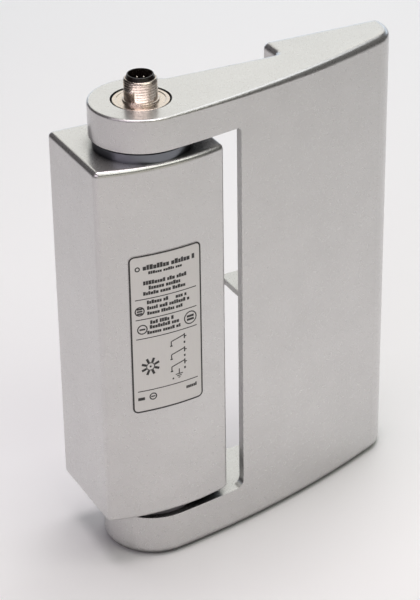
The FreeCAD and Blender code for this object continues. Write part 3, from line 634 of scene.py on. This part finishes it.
def on_front(plate, across, up, height):
    """Points at a distance across and up from the plate's middle, and a height above its face, laid
    on the front curve: x = X + (R+h) sin(s/R), y = Y - (R+h) cos(s/R), where s is the distance from
    the crest of the curve."""
    angle = (across + plate["aside"]) / FRONT_RADIUS
    reach = FRONT_RADIUS + height
    x = plate["axis"] + reach * np.sin(angle)
    y = plate["crest"] + FRONT_RADIUS - reach * np.cos(angle)
    return np.stack([x, y, plate["z"] + up], -1)


def rounded_rectangle(half_width, half_height, radius):
    """Outline with quarter circles at its corners, counter-clockwise from the right, and short
    steps along its sides so that it can follow a curve."""
    quarter = np.linspace(0, math.pi / 2, 9)
    along = np.linspace(0, 1, 26)[1:-1, None]
    parts = []
    for k, (x, z) in enumerate(((1, 1), (-1, 1), (-1, -1), (1, -1))):
        angle = quarter + k * math.pi / 2
        middle = np.array([x * (half_width - radius), z * (half_height - radius)])
        arc = middle + radius * np.stack([np.cos(angle), np.sin(angle)], -1)
        end = arc[-1]
        following = end * ((1, -1) if k % 2 else (-1, 1))
        parts += [arc, end + (following - end) * along]
    return np.concatenate(parts)


def rating_plate(settings, finish):
    """Film plate: rings of the outline scaled by 0..1 from the middle across the face, over an
    eased edge and back to the middle of its rear. The face lies lower by the height of the ink."""
    plate, rings = plate_frame(), 15
    outline = rounded_rectangle(plate["half_width"], plate["half_height"], settings.corner / MM)
    face, rear = -settings.ink_height / MM, -PLATE_THICKNESS
    scale = np.concatenate([
        0.9985 * np.linspace(0, 1, rings) ** 0.9, [0.9996, 1.0, 1.0], np.linspace(1, 0, rings)])
    depth = np.concatenate([
        np.full(rings, face), [face - 0.01, face - 0.04, rear], np.full(rings, rear)])
    ring = scale[:, None, None] * outline[None]
    points = on_front(plate, ring[..., 0], ring[..., 1], depth[:, None])
    faces = grid_faces(len(scale), len(outline))[:, ::-1]
    close_poles(make_piece(
        "rating_plate", points.reshape(-1, 3), faces, finish, "housing",
        ["rating_label"]))


def ribbon(path, width, closed=False):
    """Flat line of ink: the path moved by half the width to each side of itself, with a top and a
    bottom. Gives across, up and level (1 top, 0 bottom) of four points for each point of the path,
    and the faces between them."""
    path = np.asarray(path, float)
    if closed:
        along = np.roll(path, -1, 0) - np.roll(path, 1, 0)
    else:
        along = np.gradient(path, axis=0)
    along /= np.linalg.norm(along, axis=1, keepdims=True)
    side = np.stack([-along[:, 1], along[:, 0]], -1) * width / 2
    flat = np.stack([path + side, path - side, path - side, path + side], 1)
    level = np.broadcast_to(np.array([1.0, 1.0, 0.0, 0.0]), flat.shape[:2])
    faces = grid_faces(len(path), 4, rows_closed=closed)
    if not closed:
        last = 4 * (len(path) - 1)
        faces = np.concatenate([faces, [[3, 2, 1, 0], [last, last + 1, last + 2, last + 3]]])
    return np.concatenate([flat, level[..., None]], -1).reshape(-1, 3), faces


def line(x0, z0, x1, z1, width, step=1.0):
    """Straight ribbon cut into steps so that it can follow the front curve."""
    count = max(2, int(math.hypot(x1 - x0, z1 - z0) / step) + 1)
    t = np.linspace(0, 1, count)[:, None]
    return ribbon(np.array([x0, z0]) + t * np.array([x1 - x0, z1 - z0]), width)


def circle(x, z, radius, width, count=40):
    """Ring of ink."""
    angle = np.linspace(0, TURN, count, endpoint=False)
    path = np.stack([x + radius * np.cos(angle), z + radius * np.sin(angle)], -1)
    return ribbon(path, width, closed=True)


def words(random, x0, x1, z, tall, letter):
    """Row of plain blocks in place of a line of print, from x0 to x1: blocks about as wide as a
    letter in groups of three to eight, about a third of them as tall as a capital."""
    capital, small, gap, space = 1.15 * tall, 0.76, 0.13 * letter, 0.65 * letter
    strokes = []
    x = x0
    while x < x1 - letter:
        for _ in range(random.integers(3, 9)):
            wide = letter * random.uniform(0.75, 1.15)
            high = capital * (1.0 if random.random() < 0.35 else small)
            if x + wide > x1:
                break
            middle = z + (high - tall) / 2
            strokes.append(line(x, middle, x + wide, middle, high))
            x += wide + gap
        x += space
    return strokes


def contact_symbol(x, z):
    """One switch contact: a fixed post at the right, and a lever leaning up to it from a post at
    the left."""
    right = x + 5.4
    return [
        line(x, z - 1.7, x, z, 0.42), line(x, z, x + 5.3, z + 1.5, 0.42),
        line(right, z + 2.0, right, z - 0.1, 0.5), line(right, z + 0.8, x + 6.3, z + 0.8, 0.4),
        line(right, z - 1.2, right, z - 2.1, 0.7), line(x - 0.5, z - 1.9, x + 0.5, z - 1.9, 0.5)]


def earth_symbol(x, z):
    """Upright line over three shorter and shorter bars."""
    bars = [line(x - half, z - k * 0.75, x + half, z - k * 0.75, 0.4)
            for k, half in enumerate((1.5, 0.95, 0.45))]
    return bars + [line(x, z, x, z + 2.1, 0.4)]


def pin_diagram(x, z):
    """Dot inside a ring, with eight short radial strokes round it."""
    strokes = [circle(x, z, 0.22, 0.4, 12), circle(x, z, 1.5, 0.34, 40)]
    for angle in np.radians(22.5 + 45 * np.arange(8)):
        c, s = math.cos(angle), math.sin(angle)
        strokes.append(line(x + 1.7 * c, z + 1.7 * s, x + 3.6 * c, z + 3.6 * s, 0.95, 0.4))
    return strokes


def ring_mark(x, z, radius, bars):
    """Plain round mark: a ring with a number of bars across it."""
    strokes = [circle(x, z, radius - 0.24, 0.46)]
    for k in range(bars):
        level = z + (k - (bars - 1) / 2) * radius * 0.5
        strokes.append(line(x - radius * 0.55, level, x + radius * 0.55, level, radius * 0.34))
    return strokes


# Heights of the rules across the print, in millimetres from the plate's middle.
RULES = (14.6, 6.5, -1.4, -23.2)
# Rows of blocks: left end, right end, height, how tall, and how wide one letter is.
PRINT_ROWS = (
    (-9.0, 11.5, 27.0, 1.7, 1.15), (-7.0, 6.3, 24.8, 1.0, 0.8), (-9.0, 8.8, 20.9, 1.35, 0.95),
    (-7.0, 6.1, 18.8, 1.35, 0.95), (-9.1, 7.6, 16.7, 1.25, 0.9), (-7.8, 0.7, 13.0, 1.3, 0.9),
    (3.4, 8.6, 12.8, 1.3, 0.9), (-7.8, 9.8, 10.7, 1.3, 0.9), (-7.8, 6.7, 8.6, 1.2, 0.85),
    (-6.8, 2.5, 4.7, 1.3, 0.95), (-7.0, 5.6, 2.8, 1.3, 0.9), (-8.0, 5.9, 0.7, 1.2, 0.85),
    (7.0, 11.6, -26.0, 1.3, 0.8))
# Round marks: across, up, radius and how many bars.
ROUND_MARKS = ((-11.0, 26.9, 1.0, 0), (-10.6, 9.9, 1.9, 3), (-9.8, 2.4, 2.0, 1), (9.3, 2.5, 2.7, 2))


def plate_artwork(settings, plate):
    """Every stroke of the print, in millimetres from the plate's middle."""
    random = np.random.default_rng(settings.seed)
    half_width, half_height = plate["half_width"], plate["half_height"]
    border = rounded_rectangle(half_width - 0.3, half_height - 0.3, settings.corner / MM - 0.2)
    strokes = [ribbon(border, 0.6, closed=True)]
    strokes += [line(2.0 - half_width, z, half_width - 2.2, z, 0.36) for z in RULES]
    for row in PRINT_ROWS:
        strokes += words(random, *row)
    for mark in ROUND_MARKS:
        strokes += ring_mark(*mark)
    strokes += pin_diagram(-7.1, -13.4)
    for z in (-5.2, -10.7, -15.8):
        strokes += contact_symbol(1.2, z)
    strokes += earth_symbol(4.2, -19.4)
    strokes += [circle(1.7, -20.8, 0.2, 0.36, 12)]
    strokes += [line(-12.2, -26.4, -9.6, -26.4, 1.2), *ring_mark(-6.4, -26.1, 1.5, 1)]
    return strokes


def plate_print(settings, finish):
    """The artwork as thin ink on the plate's face, in one mesh."""
    plate = plate_frame()
    strokes = plate_artwork(settings, plate)
    starts = np.cumsum([0] + [len(points) for points, _ in strokes[:-1]])
    flat = np.concatenate([points for points, _ in strokes])
    faces = np.concatenate([faces + start for (_, faces), start in zip(strokes, starts)])
    ink = settings.ink_height / MM
    depth = 1.5 * ink  # of each stroke, so that its bottom lies inside the plate
    points = on_front(plate, flat[:, 0], flat[:, 1], (flat[:, 2] - 1) * depth)
    piece = make_piece("plate_print", points, faces[:, ::-1], finish, "housing")
    piece.data.polygons.foreach_set("use_smooth", np.zeros(len(piece.data.polygons), bool))


# ---------------------------------------------------------------- operators
class HINGESWITCH_OT_castings(bpy.types.Operator):
    """Give the housing, bracket and rear cover their lacquer"""

    bl_idname = "hingeswitch.castings"
    bl_label = "Finish Castings"

    def execute(self, context):
        settings = context.scene.casting_finish
        apply_finish(cast_finish(settings), "housing_shell", "bracket_casting")
        apply_finish(cover_finish(settings), "rear_cover")
        return {"FINISHED"}


class HINGESWITCH_OT_metalwork(bpy.types.Operator):
    """Finish the pins, screws, inserts, spring and contacts"""

    bl_idname = "hingeswitch.metalwork"
    bl_label = "Finish Metalwork"

    def execute(self, context):
        steel = metal_finish("bright_steel", (0.56, 0.56, 0.57), 0.28)
        apply_finish(
            steel, "pin_grub_screw", "cam_grub_screw", "rear_cover_screws", "sleeve_flange_screws",
            "contact_block_screws", "terminal_screws", "earth_terminal_screw", "return_spring")
        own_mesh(NODES["return_spring"])
        turned_steel = metal_finish("turned_steel", (0.52, 0.52, 0.53), 0.3, ring=0.15 * MM)
        apply_finish(turned_steel, "lower_pivot_pin", "wing_mount_inserts", "switching_cam")
        plating = tuple(context.scene.connector_sizes.colour)
        nickel = metal_finish("plain_nickel", plating, 0.25, ring=0.15 * MM)
        apply_finish(nickel, "connector_locknut", "upper_pivot_sleeve")
        brass = metal_finish("contact_brass", (0.75, 0.55, 0.26), 0.3)
        apply_finish(brass, "fixed_contacts", "contact_bridges")
        # The wide crevice reach spreads painted shade over the collar where the arm and housing
        # stand close.
        collar = metal_finish(
            "turned_collar", (0.20, 0.21, 0.235), 0.30, ring=0.2 * MM, crevice=5 * MM)
        apply_finish(collar, "upper_thrust_collar")
        return {"FINISHED"}


class HINGESWITCH_OT_mouldings(bpy.types.Operator):
    """Finish the plastic, rubber and wire parts"""

    bl_idname = "hingeswitch.mouldings"
    bl_label = "Finish Mouldings"

    def execute(self, context):
        black = moulded_finish("black_moulding", (0.016, 0.015, 0.015), 0.45)
        apply_finish(black, "upper_arm_bush", "lower_pin_bush")
        grey = moulded_finish("grey_moulding", (0.20, 0.19, 0.21), 0.5)
        apply_finish(
            grey, "lower_thrust_collar", "contact_block_case", "contact_block_cover", "plunger_rod")
        rubber = moulded_finish("seal_rubber", (0.02, 0.02, 0.022), 0.7, 0.4 * MM, 0.015 * MM)
        apply_finish(
            rubber, "rear_gasket", "connector_seal_ring", "upper_seal_ring", "lower_seal_ring")
        apply_finish(moulded_finish("wire_jacket", (0.05, 0.10, 0.32), 0.4), "internal_wires")
        return {"FINISHED"}


class HINGESWITCH_OT_connector_body(bpy.types.Operator):
    """Make the connector's threaded metal shell"""

    bl_idname = "hingeswitch.connector_body"
    bl_label = "Make Connector Body"

    def execute(self, context):
        sizes = context.scene.connector_sizes
        nickel = metal_finish("thread_nickel", tuple(sizes.colour), 0.27, ring=0.1 * MM)
        connector_body(sizes, nickel)
        return {"FINISHED"}


class HINGESWITCH_OT_connector_cup(bpy.types.Operator):
    """Make the connector's moulded insert"""

    bl_idname = "hingeswitch.connector_cup"
    bl_label = "Make Connector Cup"

    def execute(self, context):
        cup = moulded_finish("cup_moulding", (0.008, 0.005, 0.0045), 0.26)
        connector_cup(context.scene.connector_sizes, cup)
        return {"FINISHED"}


class HINGESWITCH_OT_connector_contacts(bpy.types.Operator):
    """Make the connector's contact pins"""

    bl_idname = "hingeswitch.connector_contacts"
    bl_label = "Make Contact Pins"

    def execute(self, context):
        connector_contacts(metal_finish("pin_gilt", (0.85, 0.80, 0.70), 0.18))
        return {"FINISHED"}


class HINGESWITCH_OT_rating_plate(bpy.types.Operator):
    """Make the film plate on the housing's front"""

    bl_idname = "hingeswitch.rating_plate"
    bl_label = "Make Rating Plate"

    def execute(self, context):
        settings = context.scene.plate_sizes
        rating_plate(settings, film_finish(settings))
        return {"FINISHED"}


class HINGESWITCH_OT_plate_print(bpy.types.Operator):
    """Print the plate with bars and symbols"""

    bl_idname = "hingeswitch.plate_print"
    bl_label = "Print Plate"

    def execute(self, context):
        settings = context.scene.plate_sizes
        plate_print(settings, ink_finish(settings))
        return {"FINISHED"}


# ---------------------------------------------------------------- stage
# Name, azimuth and elevation in degrees, width and height in metres, watts, colour.
SOFTBOXES = (
    ("top_softbox", 90, 88, 0.70, 0.60, 7.2, (1.0, 0.93, 0.95)),
    ("left_softbox", 208, 32, 1.08, 0.42, 2.7, (1.0, 0.90, 1.0)),
    ("right_softbox", 32, 56, 0.80, 0.42, 1.7, (0.95, 1.0, 1.0)),
    ("front_softbox", 292, 56, 0.95, 0.42, 2.7, (0.97, 1.0, 0.90)),
    ("back_softbox", 60, 32, 1.08, 0.42, 1.7, (1.0, 1.0, 0.93)),
    ("low_back_softbox", 60, 10, 1.70, 0.36, 2.6, (0.76, 0.88, 1.0)),
    ("low_front_softbox", 270, 10, 1.70, 0.36, 1.4, (1.0, 0.98, 0.80)),
)


def softbox(name, azimuth, elevation, width, height, power, colour):
    """Rectangular area light that looks at the object's middle from a direction round it."""
    light = bpy.data.lights.new(name, "AREA")
    light.shape, light.size, light.size_y = "RECTANGLE", width, height
    light.energy, light.color = power, colour
    lamp = bpy.data.objects.new(name, light)
    bpy.context.scene.collection.objects.link(lamp)
    turn, rise = math.radians(azimuth), math.radians(elevation)
    level = math.cos(rise)
    away = Vector((level * math.cos(turn), level * math.sin(turn), math.sin(rise)))
    middle = (Vector(CAD_BOX[0]) + Vector(CAD_BOX[1])) / 2
    lamp.location = middle + LIGHT_REACH * away
    lamp.rotation_euler = (-away).to_track_quat("-Z", "Y").to_euler()


class HINGESWITCH_OT_stage(bpy.types.Operator):
    """Lay the floor, set the lights and place the camera"""

    bl_idname = "hingeswitch.stage"
    bl_label = "Set Stage"

    def execute(self, context):
        scene = context.scene
        settings = scene.stage_settings
        self.lay_floor(settings)
        for lamp in SOFTBOXES:
            softbox(*lamp)
        self.light_world(scene)
        self.place_camera(scene, settings)
        scene.view_settings.view_transform = "Standard"
        return {"FINISHED"}

    def lay_floor(self, settings):
        """Plain pale floor, a flat square just below the lower arm."""
        sides = ((-1, -1), (1, -1), (1, 1), (-1, 1))
        corners = [(x * FLOOR_HALF, y * FLOOR_HALF, -FLOOR_DROP) for x, y in sides]
        mesh = bpy.data.meshes.new("floor")
        mesh.from_pydata(corners, [], [[0, 1, 2, 3]])
        finish, _, shader = new_finish("floor_paper", 0.0, 0.9)
        shader.inputs["Base Color"].default_value = (*settings.floor, 1)
        mesh.materials.append(finish)
        floor = bpy.data.objects.new("floor", mesh)
        bpy.context.scene.collection.objects.link(floor)

    def light_world(self, scene):
        """Even soft light from all round."""
        world = bpy.data.worlds.new("studio")
        scene.world = world
        world.use_nodes = True
        background = world.node_tree.nodes["Background"]
        background.inputs["Color"].default_value = (1, 1, 1, 1)
        background.inputs["Strength"].default_value = WORLD_STRENGTH

    def place_camera(self, scene, settings):
        """Camera turned by its yaw, pitch and roll from looking straight down."""
        data = bpy.data.cameras.new("camera")
        data.sensor_fit, data.sensor_width, data.sensor_height = "AUTO", SENSOR, SENSOR
        data.lens = settings.lens
        data.clip_start, data.clip_end = 0.05, 20
        camera = bpy.data.objects.new("camera", data)
        scene.collection.objects.link(camera)
        turn = (Matrix.Rotation(-settings.yaw, 4, "Z")
                @ Matrix.Rotation(math.pi / 2 - settings.pitch, 4, "X")
                @ Matrix.Rotation(settings.roll, 4, "Z"))
        camera.matrix_world = Matrix.Translation(settings.camera) @ turn
        scene.camera = camera


class HINGESWITCH_PT_panel(bpy.types.Panel):
    """Lists the settings and the steps that build the switch"""

    bl_idname = "HINGESWITCH_PT_panel"
    bl_label = "Hinge Switch"
    bl_space_type = "VIEW_3D"
    bl_region_type = "UI"
    bl_category = "Hinge Switch"

    def draw(self, context):
        for group in SETTINGS:
            box = self.layout.box()
            for title in group.__annotations__:
                box.prop(getattr(context.scene, SETTINGS[group]), title)
        for operator in OPERATORS:
            self.layout.operator(operator.bl_idname)


SETTINGS = {
    CastingFinish: "casting_finish", ConnectorSizes: "connector_sizes", PlateSizes: "plate_sizes",
    StageSettings: "stage_settings"}
OPERATORS = (
    HINGESWITCH_OT_castings, HINGESWITCH_OT_metalwork, HINGESWITCH_OT_mouldings,
    HINGESWITCH_OT_connector_body, HINGESWITCH_OT_connector_cup, HINGESWITCH_OT_connector_contacts,
    HINGESWITCH_OT_rating_plate, HINGESWITCH_OT_plate_print, HINGESWITCH_OT_stage)
CLASSES = (*SETTINGS, *OPERATORS, HINGESWITCH_PT_panel)


def register():
    for cls in CLASSES:
        bpy.utils.register_class(cls)
    for group, title in SETTINGS.items():
        setattr(bpy.types.Scene, title, PointerProperty(type=group))


def unregister():
    for title in SETTINGS.values():
        delattr(bpy.types.Scene, title)
    for cls in reversed(CLASSES):
        bpy.utils.unregister_class(cls)


def main():
    """Register the classes and run every step in order."""
    register()
    for operator in OPERATORS:
        group, step = operator.bl_idname.split(".")
        getattr(getattr(bpy.ops, group), step)()


if __name__ == "__main__":
    main()
